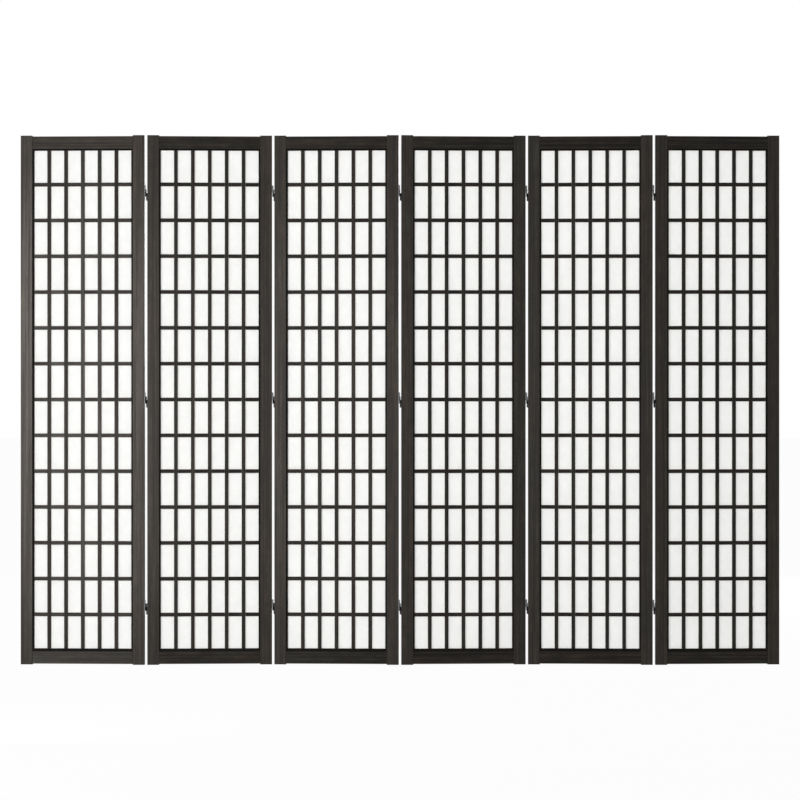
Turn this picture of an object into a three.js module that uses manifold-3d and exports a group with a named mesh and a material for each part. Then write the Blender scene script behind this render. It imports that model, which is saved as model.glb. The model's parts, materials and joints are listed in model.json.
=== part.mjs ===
// A six-panel shoji folding screen, in millimetres, +Z up.
//
// Each panel is a frame of two stiles and two rails, joined by stub tenons. A lattice is set
// into the frame, and a sheet of paper is glued to the lattice's back. Three two-way hinges
// join each panel to the next: a hinge's link turns on one pin at the front of the seam and on
// another at the back, so that the seam folds either way.
//
// A panel is drawn in its own frame: x runs from its left edge to its right one, y from the
// front face (-frameDepth / 2) to the back one, and z up from the floor. The groups are nested
// as the screen is hinged: a panel holds the links on its right edge, which hold the next panel.
// The origin is on the floor, under the middle of the screen's box.

import * as THREE from "three";
import { mergeVertices } from "three/addons/utils/BufferGeometryUtils.js";
import Module from "manifold-3d";

// ---- driving dimensions ----

const panelCount = 6;
const panelWidth = 400;
const panelHeight = 1700;
const panelGap = 7; // between neighbouring panels when the screen is flat
const restAngle = 3; // each panel stands this many degrees off the screen's line

const frameDepth = 18;
const stileWidth = 38;
const topRailHeight = 40;
const bottomRailHeight = 40;
const topRailDrop = 3; // the stiles' horns stand this far above the top rail
const bottomRailLift = 2.7; // and reach this far below the bottom rail, to the floor
const jointClearance = 0.3; // around every tenon, shoulder and fitted edge

const tenonLength = 22;
const tenonDepth = 6;
const tenonShoulder = 6; // the rail's height above and below its tenon

const latticeColumns = 6;
const latticeRows = 14;
const latticeBar = 12; // width of a bar, seen from the front
const latticeDepth = 7;
const latticeRecess = 4; // from the frame's front face
const latticeSideBorder = 5.2;
const latticeTopBorder = 5.6;
const latticeBottomBorder = 8.9;

const paperThickness = 0.5;
const paperMargin = 3; // the sheet stops this far inside the frame

const hingeHeight = 48;
const hingeInset = 185; // from a stile's end to the middle of the hinge nearest to it
const eyeRadius = 3;
const pinRadius = 1.5;
const pinClearance = 0.3; // between a pin and the eye around it, and between two eyes
const pinSideStep = 2; // a pin's axis lies this far to one side of the seam's middle
const pinStandOff = 3; // and this far in front of the face that it serves
const leafThickness = 1.3;
const webThickness = 2;
const roundSides = 10; // flats around each eye and pin

// ---- what follows from them ----

const front = -frameDepth / 2;
const back = frameDepth / 2;
const openingBottom = bottomRailLift + bottomRailHeight;
const openingTop = panelHeight - topRailDrop - topRailHeight;
const hingeLevels = {
  lower: hingeInset,
  middle: panelHeight / 2,
  upper: panelHeight - hingeInset,
}; // the middle of each hinge
const eyeHeight = hingeHeight / 4;
const latticeFront = front + latticeRecess;
const latticeBack = latticeFront + latticeDepth;

// the pins' axes in a panel's own frame: on its right edge for the links that it carries,
// and on its left edge for the links that carry it
const frontPin = { x: panelWidth + panelGap / 2 - pinSideStep, y: front - pinStandOff };
const backPinOfNext = { x: -(panelGap / 2 - pinSideStep), y: back + pinStandOff };
const linkReach = { x: 2 * pinSideStep, y: frameDepth + 2 * pinStandOff }; // front pin to back pin

// ---- materials ----

const stainedWood = new THREE.MeshStandardMaterial({ color: "#3d3a37", roughness: 0.6 });
const latticeWood = new THREE.MeshStandardMaterial({ color: "#45423f", roughness: 0.6 });
const shojiPaper = new THREE.MeshStandardMaterial({ color: "#f4f4f2", roughness: 0.9 });
const darkSteel = new THREE.MeshStandardMaterial({
  color: "#4a4a4a",
  roughness: 0.45,
  metalness: 0.8,
});

// ---- solids ----

const wasm = await Module();
wasm.setup();

// A closed solid from a three.js geometry.
function solid(geometry) {
  geometry.deleteAttribute("normal");
  geometry.deleteAttribute("uv");
  const merged = mergeVertices(geometry);
  return new wasm.Manifold(
    new wasm.Mesh({
      numProp: 3,
      vertProperties: new Float32Array(merged.attributes.position.array),
      triVerts: new Uint32Array(merged.index.array),
    }),
  );
}

// A box between two corners.
function block([x0, y0, z0], [x1, y1, z1]) {
  const geometry = new THREE.BoxGeometry(x1 - x0, y1 - y0, z1 - z0);
  geometry.translate((x0 + x1) / 2, (y0 + y1) / 2, (z0 + z1) / 2);
  return solid(geometry);
}

// An upright round bar at (x, y), from one height to another.
function rod(radius, { x, y }, z0, z1) {
  const geometry = new THREE.CylinderGeometry(radius, radius, z1 - z0, roundSides);
  geometry.rotateX(Math.PI / 2);
  geometry.translate(x, y, (z0 + z1) / 2);
  return solid(geometry);
}

function joined(pieces) {
  return pieces.reduce((whole, piece) => whole.add(piece));
}

function geometryOf(manifold) {
  const { vertProperties, triVerts } = manifold.getMesh();
  const geometry = new THREE.BufferGeometry();
  geometry.setAttribute("position", new THREE.BufferAttribute(vertProperties, 3));
  geometry.setIndex(new THREE.BufferAttribute(triVerts, 1));
  geometry.computeVertexNormals();
  return geometry;
}

function named(name, shape, material) {
  const mesh = new THREE.Mesh(geometryOf(shape), material);
  mesh.name = name;
  return mesh;
}

// ---- rails ----

// A rail across the opening, with a stub tenon at each end.
function rail(bottom, height) {
  const left = stileWidth + jointClearance;
  const right = panelWidth - stileWidth - jointClearance;
  const tongue = tenonLength - jointClearance;
  const bar = block([left, front, bottom], [right, back, bottom + height]);
  const tenon = block(
    [stileWidth - tongue, -tenonDepth / 2, bottom + tenonShoulder],
    [panelWidth - stileWidth + tongue, tenonDepth / 2, bottom + height - tenonShoulder],
  );
  return bar.add(tenon);
}

// The pocket in the stiles that takes a rail's tenons, with clearance on every side.
function mortise(bottom, height) {
  const room = jointClearance;
  return block(
    [stileWidth - tenonLength, -tenonDepth / 2 - room, bottom + tenonShoulder - room],
    [
      panelWidth - stileWidth + tenonLength,
      tenonDepth / 2 + room,
      bottom + height - tenonShoulder + room,
    ],
  );
}

// ---- stiles and the hinge leaves let into them ----

// The bored eye of a leaf around a pin, with the strap that carries it out of the stile's edge.
// The strap runs from the stile's face to the eye's middle.
function leafEye(pin, strapLeft, face, bottom) {
  const top = bottom + eyeHeight;
  const strap = block(
    [strapLeft, Math.min(face, pin.y), bottom],
    [strapLeft + leafThickness, Math.max(face, pin.y), top],
  );
  const bore = rod(pinRadius + pinClearance, pin, bottom - pinClearance, top + pinClearance);
  return rod(eyeRadius, pin, bottom, top).add(strap).subtract(bore);
}

// The right stile's leaves hold the front pins' upper ends.
function frontEyes() {
  return Object.values(hingeLevels).map((level) =>
    leafEye(frontPin, panelWidth - leafThickness, front, level + eyeHeight),
  );
}

// The left stile's leaves hold the back pins' lower ends.
function backEyes() {
  return Object.values(hingeLevels).map((level) =>
    leafEye(backPinOfNext, 0, back, level - hingeHeight / 2),
  );
}

function stile(left, eyes) {
  return joined([
    block([left, front, 0], [left + stileWidth, back, panelHeight]),
    ...eyes,
  ])
    .subtract(mortise(bottomRailLift, bottomRailHeight))
    .subtract(mortise(openingTop, topRailHeight));
}

// ---- lattice and paper ----

// The bars are half-lapped, so all their faces are flush, and they end in a border of strips
// that fits the frame's opening.
function lattice() {
  const left = stileWidth + jointClearance;
  const right = panelWidth - stileWidth - jointClearance;
  const bottom = openingBottom + jointClearance;
  const top = openingTop - jointClearance;
  const paneLeft = stileWidth + latticeSideBorder;
  const paneRight = panelWidth - paneLeft;
  const paneBottom = openingBottom + latticeBottomBorder;
  const paneTop = openingTop - latticeTopBorder;
  const columnPitch = (paneRight - paneLeft + latticeBar) / latticeColumns;
  const rowPitch = (paneTop - paneBottom + latticeBar) / latticeRows;
  const strip = (x0, z0, x1, z1) => block([x0, latticeFront, z0], [x1, latticeBack, z1]);
  const strips = [
    strip(left, bottom, paneLeft, top),
    strip(paneRight, bottom, right, top),
    strip(left, bottom, right, paneBottom),
    strip(left, paneTop, right, top),
  ];
  for (let column = 1; column < latticeColumns; column++) {
    const barEnd = paneLeft + column * columnPitch;
    strips.push(strip(barEnd - latticeBar, bottom, barEnd, top));
  }
  for (let row = 1; row < latticeRows; row++) {
    const barEnd = paneBottom + row * rowPitch;
    strips.push(strip(left, barEnd - latticeBar, right, barEnd));
  }
  return joined(strips);
}

function paper() {
  const seat = latticeBack + jointClearance;
  return block(
    [stileWidth + paperMargin, seat, openingBottom + paperMargin],
    [
      panelWidth - stileWidth - paperMargin,
      seat + paperThickness,
      openingTop - paperMargin,
    ],
  );
}

// ---- hinge link ----

// The link stands in the seam. Its origin is on the front pin's axis, at the hinge's middle.
// Its front eye and pin are one solid, under the right stile's eye; its back eye and pin are
// over the left stile's eye of the next panel. The web joins the two eyes.
function hingeLink() {
  const frontAxis = { x: 0, y: 0 };
  const webLength = Math.hypot(linkReach.x, linkReach.y);
  const webHeight = 2 * (eyeHeight - pinClearance);
  const web = new THREE.BoxGeometry(webThickness, webLength, webHeight);
  web.translate(0, webLength / 2, 0);
  web.rotateZ(-Math.atan2(linkReach.x, linkReach.y));
  return joined([
    solid(web),
    rod(eyeRadius, frontAxis, 0, eyeHeight - pinClearance),
    rod(pinRadius, frontAxis, 0, 2 * eyeHeight),
    rod(eyeRadius, linkReach, pinClearance - eyeHeight, 0),
    rod(pinRadius, linkReach, -2 * eyeHeight, 0),
  ]);
}

// ---- the screen ----

const shapes = {
  plainLeftStile: stile(0, []),
  leftStile: stile(0, backEyes()),
  rightStile: stile(panelWidth - stileWidth, frontEyes()),
  plainRightStile: stile(panelWidth - stileWidth, []),
  topRail: rail(openingTop, topRailHeight),
  bottomRail: rail(bottomRailLift, bottomRailHeight),
  lattice: lattice(),
  paper: paper(),
  link: hingeLink(),
};

// The stiles at the screen's two ends have no hinges.
function panel(number) {
  const first = number === 1;
  const last = number === panelCount;
  const group = new THREE.Group();
  const add = (part, shape, material) =>
    group.add(named(`panel_${number}_${part}`, shape, material));
  add("left_stile", first ? shapes.plainLeftStile : shapes.leftStile, stainedWood);
  add("right_stile", last ? shapes.plainRightStile : shapes.rightStile, stainedWood);
  add("top_rail", shapes.topRail, stainedWood);
  add("bottom_rail", shapes.bottomRail, stainedWood);
  add("lattice", shapes.lattice, latticeWood);
  add("paper", shapes.paper, shojiPaper);
  return group;
}

// A seam's three links, in a group that turns about the front pins' axis.
function links(seam) {
  const group = new THREE.Group();
  for (const [place, level] of Object.entries(hingeLevels)) {
    const link = named(`seam_${seam}_${place}_link`, shapes.link, darkSteel);
    link.position.z = level;
    group.add(link);
  }
  return group;
}

// Hangs the next panel on a panel's right edge. An odd seam is folded back at rest, about its
// back pins, and an even one to the front, about its front pins.
function hang(from, seam, next) {
  const fold = THREE.MathUtils.degToRad(2 * restAngle);
  const foldsBack = seam % 2 === 1;
  const carrier = links(seam);
  carrier.position.set(frontPin.x, frontPin.y, 0);
  carrier.rotation.z = foldsBack ? 0 : -fold;
  const hook = new THREE.Group(); // on the back pins' axis
  hook.position.set(linkReach.x, linkReach.y, 0);
  hook.rotation.z = foldsBack ? fold : 0;
  next.position.set(-backPinOfNext.x, -backPinOfNext.y, 0);
  hook.add(next);
  carrier.add(hook);
  from.add(carrier);
}

const panels = Array.from({ length: panelCount }, (_, index) => panel(index + 1));
for (let seam = 1; seam < panelCount; seam++) {
  hang(panels[seam - 1], seam, panels[seam]);
}
panels[0].rotation.z = THREE.MathUtils.degToRad(-restAngle);

const screen = new THREE.Group();
screen.add(panels[0]);
const middle = new THREE.Box3().setFromObject(screen, true).getCenter(new THREE.Vector3());
screen.position.set(-middle.x, -middle.y, 0);

export default screen;
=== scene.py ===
"""A six-panel shoji folding screen: stained softwood frames and lattices, paper, steel hinges."""

import json
import math

import bpy
import numpy as np
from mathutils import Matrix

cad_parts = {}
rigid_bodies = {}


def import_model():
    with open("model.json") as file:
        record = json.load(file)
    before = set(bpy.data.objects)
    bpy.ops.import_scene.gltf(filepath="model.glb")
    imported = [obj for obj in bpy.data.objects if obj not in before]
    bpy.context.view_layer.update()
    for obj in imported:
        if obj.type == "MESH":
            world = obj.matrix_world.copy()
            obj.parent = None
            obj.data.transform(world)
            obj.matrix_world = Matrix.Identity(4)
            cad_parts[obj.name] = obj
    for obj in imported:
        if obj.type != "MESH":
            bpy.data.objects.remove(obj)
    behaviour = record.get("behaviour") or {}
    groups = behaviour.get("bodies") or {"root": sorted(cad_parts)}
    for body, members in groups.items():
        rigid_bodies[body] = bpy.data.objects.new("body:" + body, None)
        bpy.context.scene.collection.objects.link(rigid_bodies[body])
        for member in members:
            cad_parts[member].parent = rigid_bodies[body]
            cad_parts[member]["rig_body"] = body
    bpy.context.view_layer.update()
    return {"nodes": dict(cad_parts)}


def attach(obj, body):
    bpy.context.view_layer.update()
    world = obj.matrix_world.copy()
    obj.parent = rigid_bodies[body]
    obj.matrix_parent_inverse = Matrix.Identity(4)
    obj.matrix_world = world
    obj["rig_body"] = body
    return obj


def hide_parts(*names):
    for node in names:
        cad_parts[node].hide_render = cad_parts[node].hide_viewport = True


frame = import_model()

# ---- sizes, in millimetres, in a panel's own frame ----
# x runs along the panel from its middle, y from the viewer's side to the paper's, z up.

MM = 0.001
PANELS = 6
HALF_WIDTH = 200
HEIGHT = 1700
HALF_DEPTH = 9
STILE = 38
RAIL = 40
BOTTOM_RAIL_LIFT = 2.7
TOP_RAIL_DROP = 3
FIT = 0.3  # clearance inside a hinge; the solids keep it at the glued joints too, which meet here

COLUMNS = 6
ROWS = 14
BAR = 12
LATTICE_FRONT = -5
LATTICE_BACK = 2
SIDE_BORDER = 5.2
TOP_BORDER = 5.6
BOTTOM_BORDER = 8.9
LAP_STEP = 0.15  # a crossbar's face lies this far under the uprights' at each lap
LAP_SEAM = 0.12  # open line where a crossbar meets an upright

PAPER_FRONT = 2.3
PAPER_THICKNESS = 0.3
PAPER_MARGIN = 3
PAPER_THROUGH = 0.6  # the share of light that goes through
PAPER_SLACK = 0.2  # how far the loosest pane's middle bows towards the back
TAUTEST = 0.2  # the tautest pane's share of that
PANE_GRID = (8, 12)  # faces of paper across and up one pane and its bar

HINGE_LEVELS = {"lower": 185, "middle": 850, "upper": 1515}  # heights of the hinges' middles
HINGE_HALF = 24
EYE = 12  # height of one eye, of four in a hinge
EYE_RADIUS = 3
BORE_RADIUS = 1.8
PIN_RADIUS = 1.5
LEAF = 1.3  # thickness of a leaf
LEAF_PROUD = 0.15  # how far it stands out of the stile's edge
FRONT_PIN = (201.5, -12.0)  # at a panel's right edge
BACK_PIN = (-201.5, 12.0)  # at the next panel's left edge
REACH = (4.0, 24.0)  # from the front pin to the back one
WEB = 2  # thickness of a link's web
WEB_ARRIS = 0.3  # radius of the web's rounded edges
LEAF_ARRIS = 0.25
EYE_ARRIS = 0.35
PLATE_SHORT = 1  # a leaf's plate is this much shorter than its hinge
PLATE_INSET = 3  # and stops this far from the stile's other face
STRAP = 5.0  # depth of the strap between the plate and the eye
STRAP_SHORT = 0.4  # the strap is this much shorter than its eye's share of the hinge
STRAP_REACH = 0.5  # from the stile's face to the strap's middle
EYE_GAP = 0.1  # left free at each end of an eye
PIN_DOME = 0.6  # height of the dome on a pin's end
PIN_START = 0.2  # a pin begins this far inside its own barrel
SCREW_HEAD = 2.9  # radius
SCREW_DEPTH = 0.9
SCREW_DOME = 0.25
SCREW_PROUD = 0.02  # beyond the plate's face
SCREW_RISE = 14  # above and below the leaf's middle
SCREW_INSET = 8  # from the stile's face

FRAME_ARRIS = 0.8  # radius of a stile's rounded edges
RAIL_ARRIS = 0.7 * FRAME_ARRIS
LATTICE_ARRIS = 0.6
LEAST_ARRIS = 0.15  # share of an arris's radius that a stick keeps where its end draws in
BORDER_SHADE = 0.9  # how far painted shade darkens the lattice's border strips, which lie recessed in the stiles' shadow
GRAIN_REACH = 3  # metres of timber from which each stick's own grain is cut

opening_bottom = BOTTOM_RAIL_LIFT + RAIL
opening_top = HEIGHT - TOP_RAIL_DROP - RAIL
draw = np.random.default_rng(1700)


# ---- surfaces ----


def stick_section(width, depth, radius, inset, steps):
    """A rounded rectangle, taken anticlockwise: each corner is a quarter circle about a point one
    radius in from both sides, with one more point on the flat at each side of it. The second
    result is how much of the arris each point has: 1 at the middle of an arc, 0 on the flats."""
    round_now = max(radius - inset, LEAST_ARRIS * radius)
    half = np.array([width / 2 - inset, depth / 2 - inset]) - round_now
    turn = np.linspace(0, math.pi / 2, steps + 1)
    arc = np.stack([np.cos(turn), np.sin(turn)], 1) * round_now
    lead = 0.5 * round_now  # from an arc's end to the point on the flat
    corner = np.concatenate([[[round_now, -lead]], arc, [[-lead, round_now]]])
    worn = np.concatenate([[0], np.sin(2 * turn), [0]])
    points = []
    for quarter, signs in enumerate([(1, 1), (-1, 1), (-1, -1), (1, -1)]):
        c, s = [(1, 0), (0, 1), (-1, 0), (0, -1)][quarter]
        points.append(corner @ np.array([[c, s], [-s, c]]) + half * signs)
    return np.concatenate(points), np.tile(worn, 4)


def ring_faces(rings, points):
    """Quads between neighbouring rings of a closed tube, with the first ring at the bottom."""
    r, p = np.meshgrid(np.arange(rings - 1), np.arange(points), indexing="ij")
    a = r * points + p
    b = r * points + (p + 1) % points
    return np.stack([a, b, b + points, a + points], -1).reshape(-1, 4)


def capped(rings):
    """Closes a stack of rings with a fan from a middle point at each end."""
    count, points = rings.shape[:2]
    vertices = np.concatenate([rings.reshape(-1, 3), [rings[0].mean(0)], [rings[-1].mean(0)]])
    side = np.arange(points)
    after = (side + 1) % points
    low, high = count * points, count * points + 1
    top = (count - 1) * points
    fans = np.concatenate(
        [
            np.stack([after, side, np.full(points, low)], 1),
            np.stack([top + side, top + after, np.full(points, high)], 1),
        ]
    )
    return vertices, ring_faces(count, points), fans


def stick(width, depth, length, radius, steps=3, rounded_ends=True):
    """A stick along z, from 0 to length. The rounded section is carried along it, and at each end
    the rings draw in by radius * (1 - sin a) while z moves by radius * (1 - cos a), so that the
    ends are rounded over like the sides."""
    if rounded_ends:
        a = np.linspace(0, math.pi / 2, steps + 1)
        insets = radius * (1 - np.sin(a))
        heights = radius * (1 - np.cos(a))
        settled = 1.5 * radius  # past here the section no longer changes
        levels = np.concatenate([heights, [settled, length - settled], length - heights[::-1]])
        insets = np.concatenate([insets, [0, 0], insets[::-1]])
        end_wear = np.concatenate([np.sin(2 * a), [0, 0], np.sin(2 * a)[::-1]])
    else:
        levels, insets, end_wear = np.array([0.0, length]), np.zeros(2), np.zeros(2)
    rings, wear = [], []
    for level, inset, end in zip(levels, insets, end_wear):
        section, worn = stick_section(width, depth, radius, inset, steps)
        rings.append(np.column_stack([section, np.full(len(section), level)]))
        wear.append(np.maximum(worn, end))
    vertices, quads, fans = capped(np.array(rings))
    return vertices, quads, fans, np.concatenate([np.concatenate(wear), [0, 0]])


def turned(profile, sides=24):
    """A surface of revolution about z, as a stack of rings: each (radius, height) of the profile
    becomes the circle (radius * cos t, radius * sin t, height). It is left for fans, or for one
    more row of quads, to close it."""
    angle = np.arange(sides) * 2 * math.pi / sides
    circle = np.stack([np.cos(angle), np.sin(angle)], 1)
    profile = np.asarray(profile, float)
    return np.concatenate(
        [profile[:, None, :1] * circle[None], np.repeat(profile[:, None, 1:], sides, 1)], -1
    )


def pin_rod(radius, low, high, dome):
    """A round pin along z with a domed head at both ends: the radius falls as cos a while the
    height rises by dome * sin a, and a fan closes what is left near the pole."""
    a = np.linspace(0, 0.47 * math.pi, 6)
    head = np.column_stack([radius * np.cos(a), dome * np.sin(a)])
    profile = np.concatenate([(head * [1, -1] + [0, low])[::-1], head + [0, high]])
    return capped(turned(profile))


def barrel(outer, inner, low, high):
    """A rolled eye: a ring whose outer corners are rounded by quarter circles, from
    outer - r + r * sin a across and r * (1 - cos a) up, and whose bore is open from end to end."""
    r = EYE_ARRIS
    a = np.linspace(0, math.pi / 2, 4)
    edge = np.column_stack([outer - r + r * np.sin(a), r * (1 - np.cos(a))])
    lower = edge + [0, low]
    upper = (edge * [1, -1] + [0, high])[::-1]
    profile = np.concatenate([lower, upper, [[inner, high], [inner, low]]])
    rings = turned(profile)
    count, points = rings.shape[:2]
    quads = ring_faces(count + 1, points) % (count * points)
    return rings.reshape(-1, 3), quads, np.zeros((0, 3), int)


def moved(surface, place):
    """The same surface, shifted."""
    return (surface[0] + np.asarray(place, float), *surface[1:])


# ---- pieces ----


def panel_place(number):
    """Where a panel stands at rest, from the middle of its top rail and the rail's long axis."""
    rail = frame["nodes"][f"panel_{number}_top_rail"].data
    points = np.empty(len(rail.vertices) * 3, np.float32)
    rail.vertices.foreach_get("co", points)
    flat = np.unique(np.round(points.reshape(-1, 3)[:, :2], 6), axis=0).astype(float)
    middle = (flat.min(0) + flat.max(0)) / 2
    along = np.linalg.svd(flat - flat.mean(0))[2][0]
    along *= math.copysign(1, along[0])
    return middle, along


places = {number: panel_place(number) for number in range(1, PANELS + 1)}


def to_world(local, number):
    """Turns and moves points of a panel's frame, in mm, into the screen's frame, in metres."""
    middle, (c, s) = places[number]
    x, y, z = (local * MM).T
    return np.column_stack([middle[0] + c * x - s * y, middle[1] + s * x + c * y, z])


def piece(name, number, surfaces, material, body, nodes, attributes=None):
    """Puts surfaces of a panel's frame into one mesh and hangs it on its body. Each surface is its
    points, its smooth faces and its flat ones."""
    vertices, polygons, smooth, start = [], [], [], 0
    for points, *kinds in surfaces:
        for faces, rounded in zip(kinds, (True, False)):
            if len(faces):
                polygons.append(faces + start)
                smooth.append(np.full(len(faces), rounded))
        vertices.append(points)
        start += len(points)
    world = to_world(np.concatenate(vertices), number)
    sizes = np.concatenate([np.full(len(faces), faces.shape[1]) for faces in polygons])
    corners = np.concatenate([faces.ravel() for faces in polygons])
    mesh = bpy.data.meshes.new(name)
    mesh.vertices.add(len(world))
    mesh.vertices.foreach_set("co", world.astype(np.float32).ravel())
    mesh.loops.add(len(corners))
    mesh.loops.foreach_set("vertex_index", corners.astype(np.int32))
    mesh.polygons.add(len(sizes))
    starts = np.concatenate([[0], np.cumsum(sizes)[:-1]])
    mesh.polygons.foreach_set("loop_start", starts.astype(np.int32))
    smooth = np.concatenate(smooth)
    mesh.polygons.foreach_set("use_smooth", smooth)
    mesh.update(calc_edges=True)
    # the edges round flat faces are sharp, or the smooth faces beside them would shade as if bent
    corner_edges = np.empty(len(corners), np.int32)
    mesh.loops.foreach_get("edge_index", corner_edges)
    sharp = np.zeros(len(mesh.edges), bool)
    sharp[corner_edges[np.repeat(~smooth, sizes)]] = True
    mesh.edges.foreach_set("use_edge_sharp", sharp)
    for key, (kind, values) in (attributes or {}).items():
        field = "vector" if kind == "FLOAT_VECTOR" else "value"
        mesh.attributes.new(key, kind, "POINT").data.foreach_set(
            field, np.concatenate(values).astype(np.float32).ravel()
        )
    mesh.validate()
    made = bpy.data.objects.new(name, mesh)
    bpy.context.scene.collection.objects.link(made)
    mesh.materials.append(material)
    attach(made, body)
    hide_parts(*nodes)
    return made


class Sticks:
    """Wooden sticks that share a mesh, each with its own stretch of grain and its own tone."""

    def __init__(self, number):
        self.level_fibre = [*places[number][1], 0]
        self.surfaces, self.grain, self.fibre, self.arris, self.tone = [], [], [], [], []
        self.border_shade = []

    def add(self, size, centre, start, length, along, radius, border_shade=0.0, **form):
        """along is "z" for an upright stick and "x" for a level one; size is its section. After
        radius comes painted shade, for a stick that lies recessed in the stiles' shadow."""
        vertices, quads, fans, wear = stick(*size, length, radius, **form)
        self.grain.append(vertices * MM + draw.uniform(0, GRAIN_REACH, 3))
        self.arris.append(wear)
        self.tone.append(np.full(len(vertices), draw.uniform()))
        self.border_shade.append(np.full(len(vertices), border_shade))
        fibre = [0, 0, 1] if along == "z" else self.level_fibre
        self.fibre.append(np.tile(fibre, (len(vertices), 1)))
        if along == "z":
            placed = vertices + [centre[0], centre[1], start]
        else:  # turned about y, so that the stick's z becomes the panel's x
            placed = vertices[:, [2, 1, 0]] * [1, 1, -1] + [start, centre[0], centre[1]]
        self.surfaces.append((placed, quads, fans))

    def attributes(self):
        """What the wood's material reads at each point, as piece() takes it."""
        return {
            "grain": ("FLOAT_VECTOR", self.grain),
            "fibre": ("FLOAT_VECTOR", self.fibre),
            "arris": ("FLOAT", self.arris),
            "tone": ("FLOAT", self.tone),
            "border_shade": ("FLOAT", self.border_shade),
        }


# ---- materials ----


def linear(hex_colour):
    """An sRGB hex colour as linear RGBA."""
    channels = [int(hex_colour[i : i + 2], 16) / 255 for i in (1, 3, 5)]
    return [c / 12.92 if c <= 0.04045 else ((c + 0.055) / 1.055) ** 2.4 for c in channels] + [1]


def node(tree, kind, inputs=None, **settings):
    """Adds a node, sets it, and sets or links its inputs."""
    new = tree.nodes.new(kind)
    for key, value in settings.items():
        setattr(new, key, value)
    for socket, value in (inputs or {}).items():
        if isinstance(value, bpy.types.NodeSocket):
            tree.links.new(value, new.inputs[socket])
        else:
            new.inputs[socket].default_value = value
    return new


# a Mix node's sockets for colours, as it has others of the same names for its other kinds
SHARE, UNDER, OVER, MIXED = 0, 6, 7, 2


def blank(name):
    """A new material with an empty node tree."""
    material = bpy.data.materials.new(name)
    material.use_nodes = True
    material.node_tree.nodes.clear()
    return material, material.node_tree


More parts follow.
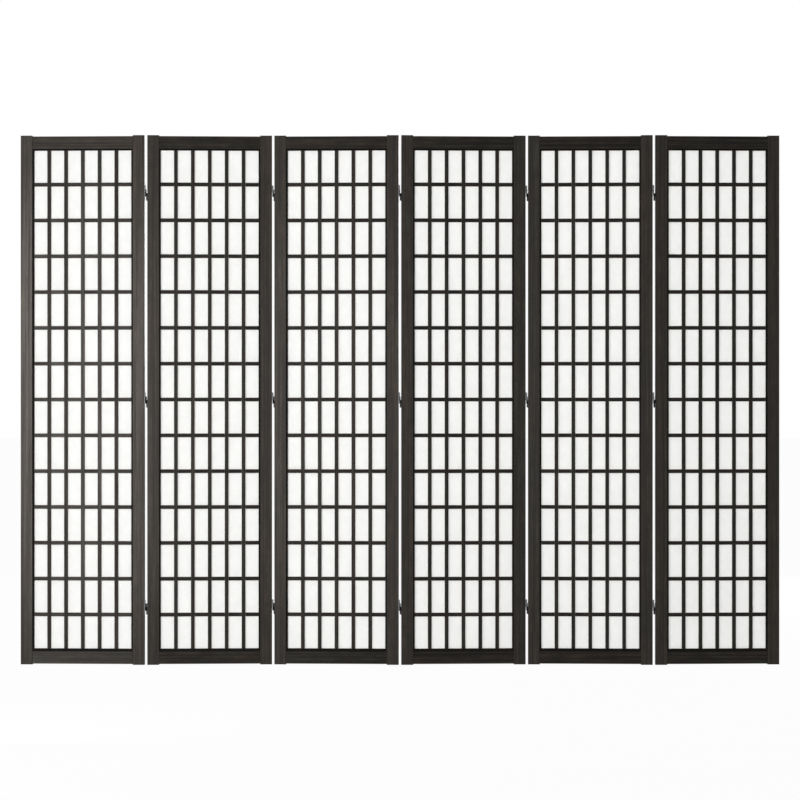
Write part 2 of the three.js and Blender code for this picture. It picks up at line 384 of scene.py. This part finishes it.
def stained_softwood(name, dark, green, brown, worn, ring_mm, roughness, shine):
    """Planed straight-grained softwood under a thin charcoal stain. The soft early wood drinks more
    stain than the late wood, which gives streaks along the stick. The arrises, and the sticks given
    painted shade, are darkened towards near black as painted shade, but for a few rubbed stretches
    of arris, which are wear. Planing leaves the pores open and the fibres standing, so the sheen is
    low and spreads across the fibres: an upright stick shines to the side, and a level one up and
    down."""
    material, tree = blank(name)
    grain = node(tree, "ShaderNodeAttribute", attribute_name="grain").outputs["Vector"]
    arris = node(tree, "ShaderNodeAttribute", attribute_name="arris").outputs["Fac"]
    tone = node(tree, "ShaderNodeAttribute", attribute_name="tone").outputs["Fac"]
    across = 1 / (ring_mm * MM)
    # broad bands of early and late wood, some 80 times longer than wide
    bands = node(
        tree,
        "ShaderNodeTexNoise",
        {
            "Vector": node(
                tree,
                "ShaderNodeMapping",
                {"Vector": grain, "Scale": (across, across, across / 80)},
            ).outputs[0],
            "Scale": 1.0,
            "Detail": 3.0,
            "Roughness": 0.55,
            "Distortion": 0.25,
        },
    ).outputs["Fac"]
    # fibres about 0.7 mm wide, drawn wider than the real ones so that they show
    fibres = node(
        tree,
        "ShaderNodeTexNoise",
        {
            "Vector": node(
                tree, "ShaderNodeMapping", {"Vector": grain, "Scale": (1400, 1400, 16)}
            ).outputs[0],
            "Scale": 1.0,
            "Detail": 4.0,
            "Roughness": 0.65,
        },
    ).outputs["Fac"]
    # open pores: dark dashes about 0.5 by 12 mm
    dashes = node(
        tree,
        "ShaderNodeTexNoise",
        {
            "Vector": node(
                tree, "ShaderNodeMapping", {"Vector": grain, "Scale": (2000, 2000, 80)}
            ).outputs[0],
            "Scale": 1.0,
            "Detail": 1.0,
        },
    ).outputs["Fac"]
    pores = node(
        tree, "ShaderNodeMapRange", {"Value": dashes, "From Min": 0.62, "From Max": 0.74}
    ).outputs[0]
    # the stain leans to green or to brown over stretches of some 120 mm
    lean = node(
        tree,
        "ShaderNodeTexNoise",
        {
            "Vector": node(
                tree, "ShaderNodeMapping", {"Vector": grain, "Scale": (45, 45, 8)}
            ).outputs[0],
            "Scale": 1.0,
            "Detail": 2.0,
        },
    ).outputs["Fac"]
    leaning = node(
        tree,
        "ShaderNodeMapRange",
        {"Value": lean, "From Min": 0.36, "From Max": 0.64, "To Min": -0.45, "To Max": 0.45},
    ).outputs[0]
    toned = node(
        tree, "ShaderNodeMath", {0: tone, 1: leaning}, operation="ADD", use_clamp=True
    ).outputs[0]
    hue = node(
        tree,
        "ShaderNodeMix",
        {SHARE: toned, UNDER: linear(green), OVER: linear(brown)},
        data_type="RGBA",
    ).outputs[MIXED]
    band_share = node(
        tree, "ShaderNodeMapRange", {"Value": bands, "From Min": 0.4, "From Max": 0.6}
    ).outputs[0]
    stained = node(
        tree, "ShaderNodeMix", {SHARE: band_share, UNDER: linear(dark), OVER: hue}, data_type="RGBA"
    ).outputs[MIXED]
    fibre_share = node(
        tree,
        "ShaderNodeMapRange",
        {"Value": fibres, "From Min": 0.3, "From Max": 0.7, "To Max": 0.55},
    ).outputs[0]
    fibred = node(
        tree,
        "ShaderNodeMix",
        {SHARE: fibre_share, UNDER: stained, OVER: linear(dark)},
        data_type="RGBA",
    ).outputs[MIXED]
    # the stain was wiped on, and stands thicker in patches of some 20 by 60 mm
    wiped = node(
        tree,
        "ShaderNodeTexNoise",
        {
            "Vector": node(
                tree, "ShaderNodeMapping", {"Vector": grain, "Scale": (50, 50, 17)}
            ).outputs[0],
            "Scale": 1.0,
            "Detail": 4.0,
            "Roughness": 0.6,
        },
    ).outputs["Fac"]
    thinness = node(
        tree,
        "ShaderNodeMapRange",
        {"Value": wiped, "From Min": 0.34, "From Max": 0.66, "To Min": 0.45, "To Max": 1.6},
    ).outputs[0]
    fibred = node(
        tree,
        "ShaderNodeMix",
        {SHARE: 1.0, UNDER: fibred, OVER: thinness},
        data_type="RGBA",
        blend_type="MULTIPLY",
    ).outputs[MIXED]
    pored = node(
        tree,
        "ShaderNodeMix",
        {SHARE: pores, UNDER: fibred, OVER: linear("#0e0d0d")},
        data_type="RGBA",
    ).outputs[MIXED]
    # painted shade: the arrises and the recessed border strips are mixed towards near black
    border_shade = node(tree, "ShaderNodeAttribute", attribute_name="border_shade").outputs["Fac"]
    painted_shade_share = node(
        tree, "ShaderNodeMath", {0: arris, 1: border_shade}, operation="MAXIMUM"
    ).outputs[0]
    with_painted_shade = node(
        tree,
        "ShaderNodeMix",
        {SHARE: painted_shade_share, UNDER: pored, OVER: linear("#0c0b0a")},
        data_type="RGBA",
    ).outputs[MIXED]
    # rubbed stretches of an arris, broken up so that no even line is drawn round a stick
    rubbing = node(
        tree,
        "ShaderNodeMapRange",
        {"Value": lean, "From Min": 0.58, "From Max": 0.72, "To Max": 0.5},
    ).outputs[0]
    rubbed = node(
        tree, "ShaderNodeMath", {0: arris, 1: rubbing}, operation="MULTIPLY"
    ).outputs[0]
    colour = node(
        tree, "ShaderNodeMix", {SHARE: rubbed, UNDER: with_painted_shade, OVER: linear(worn)}, data_type="RGBA"
    ).outputs[MIXED]
    gloss = node(
        tree,
        "ShaderNodeMapRange",
        {
            "Value": fibres,
            "From Min": 0.3,
            "From Max": 0.7,
            "To Min": roughness - 0.06,
            "To Max": roughness + 0.06,
        },
    ).outputs[0]
    # bands that drank more stain are duller, sticks differ, and the arrises and border strips under
    # painted shade are the dullest
    gloss = node(
        tree, "ShaderNodeMath", {0: band_share, 1: -0.09, 2: gloss}, operation="MULTIPLY_ADD"
    ).outputs[0]
    gloss = node(
        tree, "ShaderNodeMath", {0: tone, 1: 0.14, 2: gloss}, operation="MULTIPLY_ADD"
    ).outputs[0]
    gloss = node(
        tree, "ShaderNodeMath", {0: painted_shade_share, 1: 0.5, 2: gloss}, operation="MULTIPLY_ADD"
    ).outputs[0]
    relief = node(
        tree,
        "ShaderNodeBump",
        {"Height": fibres, "Strength": 0.35, "Distance": 0.0002},
    ).outputs[0]
    # the sheen's spread lies square to the fibres; the small offset serves the end grain
    fibre = node(tree, "ShaderNodeAttribute", attribute_name="fibre").outputs["Vector"]
    fibre = node(
        tree,
        "ShaderNodeVectorTransform",
        {0: fibre},
        vector_type="VECTOR",
        convert_from="OBJECT",
        convert_to="WORLD",
    ).outputs[0]
    facing = node(tree, "ShaderNodeNewGeometry").outputs["Normal"]
    across_fibres = node(
        tree, "ShaderNodeVectorMath", {0: facing, 1: fibre}, operation="CROSS_PRODUCT"
    ).outputs[0]
    spread = node(
        tree, "ShaderNodeVectorMath", {0: across_fibres, 1: (0.001, 0.002, 0.003)}, operation="ADD"
    ).outputs[0]
    skin = node(
        tree,
        "ShaderNodeBsdfPrincipled",
        {
            "Base Color": colour,
            "Roughness": gloss,
            "IOR": 1.5,
            "Specular IOR Level": shine,
            "Specular Tint": linear("#fff5eb"),
            "Anisotropic": 0.6,
            "Tangent": spread,
            "Normal": relief,
        },
    )
    node(tree, "ShaderNodeOutputMaterial", {"Surface": skin.outputs[0]})
    return material


def shoji_paper():
    """Machine-made shoji paper, cast from long bleached fibres: a matt white sheet with faint
    cloudy formation and upright fibres. It lets through somewhat more light than it throws back."""
    material, tree = blank("bleached_fibre_paper")
    place = node(tree, "ShaderNodeTexCoord").outputs["Object"]
    # clouds of fibre about 25 mm across
    clouds = node(
        tree,
        "ShaderNodeTexNoise",
        {"Vector": place, "Scale": 40.0, "Detail": 3.0, "Roughness": 0.5},
    ).outputs["Fac"]
    # fibres about 0.8 by 12 mm, standing along the sheet
    strands = node(
        tree,
        "ShaderNodeTexNoise",
        {
            "Vector": node(
                tree, "ShaderNodeMapping", {"Vector": place, "Scale": (1250, 1250, 80)}
            ).outputs[0],
            "Scale": 1.0,
            "Detail": 3.0,
        },
    ).outputs["Fac"]
    cloud_share = node(
        tree, "ShaderNodeMapRange", {"Value": clouds, "From Min": 0.3, "From Max": 0.7}
    ).outputs[0]
    cast = node(
        tree,
        "ShaderNodeMix",
        {SHARE: cloud_share, UNDER: linear("#f5f5f4"), OVER: linear("#f8f8f7")},
        data_type="RGBA",
    ).outputs[MIXED]
    strand_share = node(
        tree,
        "ShaderNodeMapRange",
        {"Value": strands, "From Min": 0.55, "From Max": 0.8, "To Max": 0.5},
    ).outputs[0]
    colour = node(
        tree,
        "ShaderNodeMix",
        {SHARE: strand_share, UNDER: cast, OVER: linear("#ecebe8")},
        data_type="RGBA",
    ).outputs[MIXED]
    relief = node(
        tree, "ShaderNodeBump", {"Height": strands, "Strength": 0.15, "Distance": 0.0001}
    ).outputs[0]
    sheet = node(
        tree,
        "ShaderNodeBsdfPrincipled",
        {"Base Color": colour, "Roughness": 0.9, "Specular IOR Level": 0.2, "Normal": relief},
    ).outputs[0]
    glow = node(tree, "ShaderNodeBsdfTranslucent", {"Color": colour}).outputs[0]
    both = node(tree, "ShaderNodeMixShader", {0: PAPER_THROUGH, 1: sheet, 2: glow}).outputs[0]
    node(tree, "ShaderNodeOutputMaterial", {"Surface": both})
    return material


def coated_steel():
    """Pressed mild steel with a dark electrophoretic coat: satin, finely speckled, and rubbed to a
    lighter grey in small spots, as by handling and folding."""
    material, tree = blank("dark_coated_steel")
    place = node(tree, "ShaderNodeTexCoord").outputs["Object"]
    # rubbed spots about 1.4 mm across
    rub = node(
        tree,
        "ShaderNodeTexNoise",
        {"Vector": place, "Scale": 700.0, "Detail": 3.0, "Roughness": 0.55},
    ).outputs["Fac"]
    # speckle of the coat, 0.4 mm
    speckle = node(
        tree, "ShaderNodeTexNoise", {"Vector": place, "Scale": 2500.0, "Detail": 2.0}
    ).outputs["Fac"]
    bare = node(
        tree, "ShaderNodeMapRange", {"Value": rub, "From Min": 0.36, "From Max": 0.72}
    ).outputs[0]
    colour = node(
        tree,
        "ShaderNodeMix",
        {SHARE: bare, UNDER: linear("#454546"), OVER: linear("#7c7c7d")},
        data_type="RGBA",
    ).outputs[MIXED]
    gloss = node(
        tree,
        "ShaderNodeMapRange",
        {"Value": speckle, "From Min": 0.3, "From Max": 0.7, "To Min": 0.34, "To Max": 0.48},
    ).outputs[0]
    relief = node(
        tree, "ShaderNodeBump", {"Height": speckle, "Strength": 0.2, "Distance": 0.00005}
    ).outputs[0]
    skin = node(
        tree,
        "ShaderNodeBsdfPrincipled",
        {"Base Color": colour, "Metallic": 0.9, "Roughness": gloss, "Normal": relief},
    )
    node(tree, "ShaderNodeOutputMaterial", {"Surface": skin.outputs[0]})
    return material


stile_wood = stained_softwood(
    "charcoal_stained_stile_wood", "#090808", "#2a2a25", "#302822", "#4b4642", 6.0, 0.36, 0.27
)
# the rails' copy of the stile wood is made darker and less shiny so that they render darker than
# the stiles: painted shade
rail_wood = stained_softwood(
    "charcoal_stained_rail_wood", "#080707", "#2a2a25", "#302822", "#403c39", 6.0, 0.4, 0.19
)
lattice_wood = stained_softwood(
    "charcoal_stained_lattice_wood", "#090808", "#24241f", "#29221d", "#4b4642", 4.0, 0.38, 0.2
)
paper_stock = shoji_paper()
hinge_steel = coated_steel()

# ---- frames ----


def add_stile(number, side):
    """One upright of a panel's frame: a stick of the screen's full height."""
    left = -HALF_WIDTH if side == "left" else HALF_WIDTH - STILE
    wood = Sticks(number)
    wood.add((STILE, 2 * HALF_DEPTH), (left + STILE / 2, 0), 0, HEIGHT, "z", FRAME_ARRIS)
    name = f"panel_{number}_{side}_stile"
    piece(
        f"{name}_wood",
        number,
        wood.surfaces,
        stile_wood,
        f"panel_{number}",
        [name],
        wood.attributes(),
    )


def add_rail(number, side, bottom):
    """A level stick of the frame, from stile to stile."""
    half = HALF_WIDTH - STILE
    wood = Sticks(number)
    wood.add((RAIL, 2 * HALF_DEPTH), (0, bottom + RAIL / 2), -half, 2 * half, "x", RAIL_ARRIS)
    name = f"panel_{number}_{side}_rail"
    piece(
        f"{name}_wood",
        number,
        wood.surfaces,
        rail_wood,
        f"panel_{number}",
        [name],
        wood.attributes(),
    )


# ---- lattices ----

pane_left = -HALF_WIDTH + STILE + SIDE_BORDER
pane_bottom = opening_bottom + BOTTOM_BORDER
pane_top = opening_top - TOP_BORDER
column_pitch = (-2 * pane_left + BAR) / COLUMNS
row_pitch = (pane_top - pane_bottom + BAR) / ROWS


def add_lattice(number):
    """Five uprights, thirteen crossbars in segments that are lapped into them, and the border."""
    bars = Sticks(number)
    depth = LATTICE_BACK - LATTICE_FRONT
    middle = (LATTICE_FRONT + LATTICE_BACK) / 2
    low, high = opening_bottom, opening_top
    outer = HALF_WIDTH - STILE
    coarse = {"steps": 2, "rounded_ends": False}
    # all four border strips carry painted shade, as they lie recessed in the stiles' shadow
    for sign in (-1, 1):
        bars.add(
            (SIDE_BORDER, depth),
            (sign * (outer - SIDE_BORDER / 2), middle),
            low,
            high - low,
            "z",
            LATTICE_ARRIS,
            BORDER_SHADE,
            **coarse,
        )
    inner = -pane_left
    for bottom, top in ((low, pane_bottom), (pane_top, high)):
        bars.add(
            (top - bottom, depth),
            (middle, (bottom + top) / 2),
            -inner,
            2 * inner,
            "x",
            LATTICE_ARRIS,
            BORDER_SHADE,
            **coarse,
        )
    for column in range(1, COLUMNS):
        x = pane_left + column * column_pitch - BAR / 2
        bars.add(
            (BAR, depth),
            (x, middle),
            pane_bottom,
            pane_top - pane_bottom,
            "z",
            LATTICE_ARRIS,
            **coarse,
        )
    for row in range(1, ROWS):
        z = pane_bottom + row * row_pitch - BAR / 2
        for column in range(COLUMNS):
            start = pane_left + column * column_pitch + LAP_SEAM
            length = column_pitch - BAR - 2 * LAP_SEAM
            bars.add(
                (BAR, depth - LAP_STEP),
                (middle + LAP_STEP / 2, z),
                start,
                length,
                "x",
                LATTICE_ARRIS,
                **coarse,
            )
    name = f"panel_{number}_lattice"
    piece(
        f"{name}_bars",
        number,
        bars.surfaces,
        lattice_wood,
        f"panel_{number}",
        [name],
        bars.attributes(),
    )


# ---- paper ----


def add_paper(number):
    """A grid over the sheet. Its surface bows back by slack * sin^2 across each pane and sin^2 up
    it, and is flat where it is glued to the bars; the back is the same grid one thickness on."""
    half = HALF_WIDTH - STILE - PAPER_MARGIN
    low, high = opening_bottom + PAPER_MARGIN, opening_top - PAPER_MARGIN
    x = np.linspace(-half, half, PANE_GRID[0] * COLUMNS + 1)
    z = np.linspace(low, high, PANE_GRID[1] * ROWS + 1)
    grid_x, grid_z = np.meshgrid(x, z)
    across = (grid_x - pane_left) / column_pitch % 1 * column_pitch / (column_pitch - BAR)
    up = (grid_z - pane_bottom) / row_pitch % 1 * row_pitch / (row_pitch - BAR)
    bow = np.sin(np.pi * np.clip(across, 0, 1)) ** 2 * np.sin(np.pi * np.clip(up, 0, 1)) ** 2
    inside = (abs(grid_x) < -pane_left) & (grid_z > pane_bottom) & (grid_z < pane_top)
    column = np.clip((grid_x - pane_left) // column_pitch, 0, COLUMNS - 1).astype(int)
    row = np.clip((grid_z - pane_bottom) // row_pitch, 0, ROWS - 1).astype(int)
    slack = draw.uniform(TAUTEST, 1, (ROWS, COLUMNS)) * PAPER_SLACK
    y = PAPER_FRONT + bow * inside * slack[row, column]
    faces_front = np.stack([grid_x, y, grid_z], -1).reshape(-1, 3)
    faces_back = faces_front + [0, PAPER_THICKNESS, 0]
    rows, columns = grid_x.shape
    r, c = np.meshgrid(np.arange(rows - 1), np.arange(columns - 1), indexing="ij")
    a = (r * columns + c).ravel()
    front = np.stack([a, a + 1, a + columns + 1, a + columns], 1)
    count = rows * columns
    back = front[:, ::-1] + count
    rim = np.concatenate(
        [
            np.arange(columns),
            np.arange(1, rows) * columns + columns - 1,
            (rows - 1) * columns + np.arange(columns - 2, -1, -1),
            np.arange(rows - 2, 0, -1) * columns,
        ]
    )
    after = np.roll(rim, -1)
    side = np.stack([rim, rim + count, after + count, after], 1)
    surface = (np.concatenate([faces_front, faces_back]), np.concatenate([front, back]), side)
    name = f"panel_{number}_paper"
    sheet = piece(
        f"{name}_sheet", number, [surface], paper_stock, f"panel_{number}", [name]
    )


# ---- hinges ----


def level_stick(size, length, radius, centre):
    """A small steel bar lying along z, rounded all over, with its middle at a point."""
    vertices, quads, fans, _ = stick(*size, length, radius, steps=2)
    return vertices + [centre[0], centre[1], centre[2] - length / 2], quads, fans


def screw_head(place, outward):
    """A countersunk head, seen as a shallow dome with its axis along x: the radius falls as cos a
    while the dome rises by SCREW_DOME * sin a."""
    vertices, quads, fans = pin_rod(SCREW_HEAD, -SCREW_DEPTH, 0.0, SCREW_DOME)
    turned_out = vertices[:, [2, 1, 0]] * ([1, 1, -1] if outward > 0 else [-1, 1, 1])
    return turned_out + np.asarray(place, float), quads, fans


def add_leaf(seam, level_name, level, side):
    """A leaf: a plate let into the stile's edge, a strap that carries a rolled eye, two screws."""
    if side == "front":  # on the right edge of the seam's left panel
        number, pin, edge, outward, bottom = seam, FRONT_PIN, HALF_WIDTH, 1, level + EYE
    else:  # on the left edge of its right panel
        number, pin, edge, outward, bottom = seam + 1, BACK_PIN, -HALF_WIDTH, -1, level - HINGE_HALF
    middle_x = edge + outward * (LEAF_PROUD - LEAF / 2)
    facing = 1 if side == "back" else -1
    plate_depth = 2 * HALF_DEPTH - PLATE_INSET
    face = facing * HALF_DEPTH
    surfaces = [
        level_stick(
            (LEAF, plate_depth),
            2 * HINGE_HALF - PLATE_SHORT,
            LEAF_ARRIS,
            (middle_x, face - facing * plate_depth / 2, level),
        ),
        level_stick(
            (LEAF, STRAP),
            EYE - STRAP_SHORT,
            LEAF_ARRIS,
            (middle_x, face + facing * STRAP_REACH, bottom + EYE / 2),
        ),
        moved(
            barrel(EYE_RADIUS, BORE_RADIUS, bottom + EYE_GAP, bottom + EYE - EYE_GAP), (*pin, 0)
        ),
    ]
    screw_x = edge + outward * (LEAF_PROUD + SCREW_PROUD)
    for rise in (-SCREW_RISE, SCREW_RISE):
        surfaces.append(
            screw_head((screw_x, face - facing * SCREW_INSET, level + rise), outward)
        )
    stile = f"panel_{number}_{'right' if side == 'front' else 'left'}_stile"
    piece(
        f"seam_{seam}_{level_name}_{side}_leaf",
        number,
        surfaces,
        hinge_steel,
        f"panel_{number}",
        [stile],
    )


def add_link(seam, level_name, level):
    """Two barrels joined by a slanting web, each with its pin, one up and one down."""
    name = f"seam_{seam}_{level_name}_link"
    if seam % 2:
        number, origin = seam, FRONT_PIN
    else:
        number, origin = seam + 1, (BACK_PIN[0] - REACH[0], BACK_PIN[1] - REACH[1])
    length = math.hypot(*REACH)
    vertices, quads, fans, _ = stick(WEB, length, 2 * (EYE - FIT), WEB_ARRIS, steps=2)
    c, s = REACH[1] / length, -REACH[0] / length
    x, y, z = vertices.T
    turned_web = np.column_stack([c * x - s * y, s * x + c * y, z])
    web = (turned_web + [REACH[0] / 2, REACH[1] / 2, FIT - EYE], quads, fans)
    surfaces = [
        web,
        barrel(EYE_RADIUS, PIN_RADIUS, 0, EYE - FIT),
        pin_rod(PIN_RADIUS, PIN_START, 2 * EYE, PIN_DOME),
        moved(barrel(EYE_RADIUS, PIN_RADIUS, FIT - EYE, 0), (*REACH, 0)),
        moved(pin_rod(PIN_RADIUS, -2 * EYE, -PIN_START, PIN_DOME), (*REACH, 0)),
    ]
    surfaces = [moved(surface, (*origin, level)) for surface in surfaces]
    body = frame["nodes"][name]["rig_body"]
    piece(f"{name}_steel", number, surfaces, hinge_steel, body, [name])


# ---- the camera ----

camera = bpy.data.objects.new("camera", bpy.data.cameras.new("camera"))
bpy.context.scene.collection.objects.link(camera)
camera.data.lens = 140
camera.data.sensor_width = 36
camera.location = (0, -10, 0.85)
camera.rotation_euler = (math.pi / 2, 0, 0)
bpy.context.scene.camera = camera
bpy.context.scene.view_settings.view_transform = "Standard"

# ---- the screen ----

for number in range(1, PANELS + 1):
    add_stile(number, "left")
    add_stile(number, "right")
    add_rail(number, "bottom", BOTTOM_RAIL_LIFT)
    add_rail(number, "top", opening_top)
    add_lattice(number)
    add_paper(number)
for seam in range(1, PANELS):
    for level_name, level in HINGE_LEVELS.items():
        add_leaf(seam, level_name, level, "front")
        add_leaf(seam, level_name, level, "back")
        add_link(seam, level_name, level)

# ---- the floor, the room and the lamps ----

FLOOR_HALF = 60  # metres
FLOOR_DROP = 0.0005  # metres under the feet, so that their faces don't meet the floor's
FLOOR_WHITE = 0.97  # the share of the floor's look that is white of its own
ROOM_LIGHT = 0.18  # the room's white as light on the object, where 1 is what the eye sees


def seen(tree):
    """1 on rays that show the room to the eye: straight, mirrored, or through something clear."""
    path = node(tree, "ShaderNodeLightPath").outputs
    either = node(
        tree,
        "ShaderNodeMath",
        {0: path["Is Camera Ray"], 1: path["Is Glossy Ray"]},
        operation="MAXIMUM",
    ).outputs[0]
    return node(
        tree, "ShaderNodeMath", {0: either, 1: path["Is Transmission Ray"]}, operation="MAXIMUM"
    ).outputs[0]


def pale_floor():
    """White matt studio floor. Seen by the eye, it is mostly white of its own, and keeps a share
    of the object's shadow."""
    material, tree = blank("white_studio_floor")
    share = node(tree, "ShaderNodeMath", {0: seen(tree), 1: FLOOR_WHITE}, operation="MULTIPLY")
    matt = node(tree, "ShaderNodeBsdfDiffuse", {"Color": linear("#f5f5f5")})
    white = node(tree, "ShaderNodeEmission", {"Color": linear("#ffffff"), "Strength": 1.0})
    mixed = node(
        tree, "ShaderNodeMixShader", {0: share.outputs[0], 1: matt.outputs[0], 2: white.outputs[0]}
    )
    node(tree, "ShaderNodeOutputMaterial", {"Surface": mixed.outputs[0]})
    return material


floor_mesh = bpy.data.meshes.new("floor")
floor_mesh.from_pydata(
    [(FLOOR_HALF * x, FLOOR_HALF * y, 0) for x, y in ((-1, -1), (1, -1), (1, 1), (-1, 1))],
    [],
    [(0, 1, 2, 3)],
)
floor_mesh.materials.append(pale_floor())
floor = bpy.data.objects.new("floor", floor_mesh)
floor.location.z = -FLOOR_DROP
bpy.context.scene.collection.objects.link(floor)

world = bpy.data.worlds.new("studio")
bpy.context.scene.world = world
world.use_nodes = True
sky = world.node_tree
sky.nodes.clear()
dim = node(sky, "ShaderNodeBackground", {"Color": linear("#ffffff"), "Strength": ROOM_LIGHT})
white = node(sky, "ShaderNodeBackground", {"Color": linear("#ffffff"), "Strength": 1.0})
mixed = node(sky, "ShaderNodeMixShader", {0: seen(sky), 1: dim.outputs[0], 2: white.outputs[0]})
node(sky, "ShaderNodeOutputWorld", {"Surface": mixed.outputs[0]})


def soft_lamp(name, place, towards, width, height, watts):
    """A rectangular soft box that faces a point, in metres, and doesn't show itself."""
    data = bpy.data.lights.new(name, "AREA")
    data.shape, data.size, data.size_y, data.energy = "RECTANGLE", width, height, watts
    lamp = bpy.data.objects.new(name, data)
    lamp.location = place
    aim = np.subtract(towards, place)
    lamp.rotation_euler = (
        math.acos(-aim[2] / np.linalg.norm(aim)),
        0,
        math.atan2(aim[1], aim[0]) - math.pi / 2,
    )
    lamp.visible_camera = False
    bpy.context.scene.collection.objects.link(lamp)


soft_lamp("sheen", (-2.35, -4.0, 0.82), (-1.0, 0, 0.8), 0.9, 2.0, 90)
soft_lamp("near", (-1.1, -2.3, 0.8), (-0.9, 0, 0.8), 0.6, 1.4, 9)
soft_lamp("rear", (2.0, 4.6, 2.0), (0.3, 0, 0.8), 3.0, 2.0, 160)
